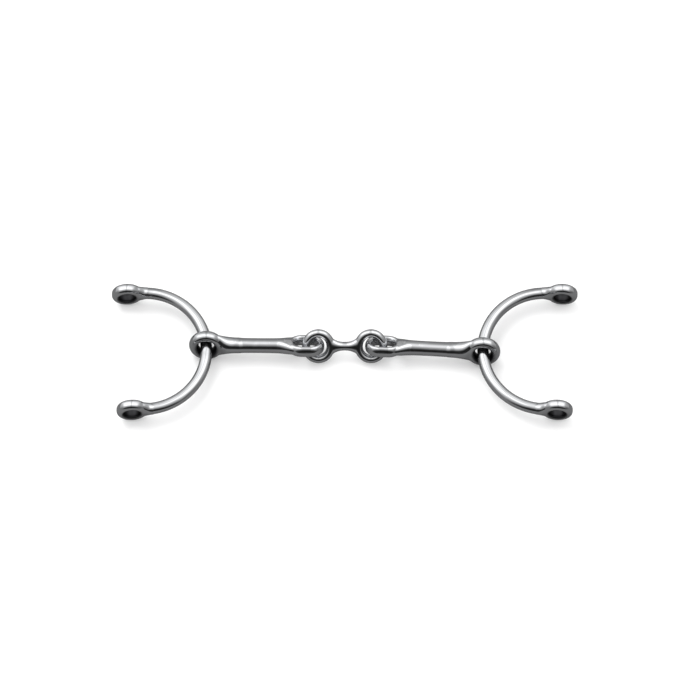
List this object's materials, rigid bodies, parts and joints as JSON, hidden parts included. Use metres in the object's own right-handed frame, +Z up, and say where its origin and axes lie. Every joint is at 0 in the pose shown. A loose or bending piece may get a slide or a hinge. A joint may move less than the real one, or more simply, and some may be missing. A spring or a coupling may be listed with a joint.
{
  "type": "gag snaffle bit",
  "caption": "Double-jointed gag snaffle bit in polished steel, with open half-ring cheeks eyed at their tips for rolled cheekpieces and a figure-of-eight link in the mouthpiece.",
  "frame": {"origin": "middle of the footprint on the ground the bit lies on", "axes": "+X along the mouthpiece to the right cheek, +Y towards the bridle eyes, +Z up from the ground"},
  "size_m": [0.239, 0.0728, 0.017],
  "materials": {
    "polished_steel": "mirror-polished stainless steel"
  },
  "bodies": {
    "centre_link": {"centre_link": "polished_steel"},
    "left_cannon": {"left_cannon": "polished_steel"},
    "right_cannon": {"right_cannon": "polished_steel"},
    "left_cheek": {"left_cheek": "polished_steel"},
    "right_cheek": {"right_cheek": "polished_steel"}
  },
  "joints": [
    {"name": "left_cannon_fold", "type": "hinge", "parent": "centre_link", "child": "left_cannon", "pos_m": [-0.0167, 0.0029, 0.0085], "axis": [0, 0, -1], "range_deg": [-35, 35]},
    {"name": "right_cannon_fold", "type": "hinge", "parent": "centre_link", "child": "right_cannon", "pos_m": [0.0167, 0.0029, 0.0085], "axis": [0, 0, 1], "range_deg": [-31, 35]},
    {"name": "left_cheek_turn", "type": "hinge", "parent": "left_cannon", "child": "left_cheek", "pos_m": [-0.0706, 0.00346, 0.0085], "axis": [-0.099, 0.9951, 0], "continuous": true},
    {"name": "right_cheek_turn", "type": "hinge", "parent": "right_cannon", "child": "right_cheek", "pos_m": [0.07043, -0.0001, 0.0085], "axis": [0.0037, -1, 0], "continuous": true}
  ]
}
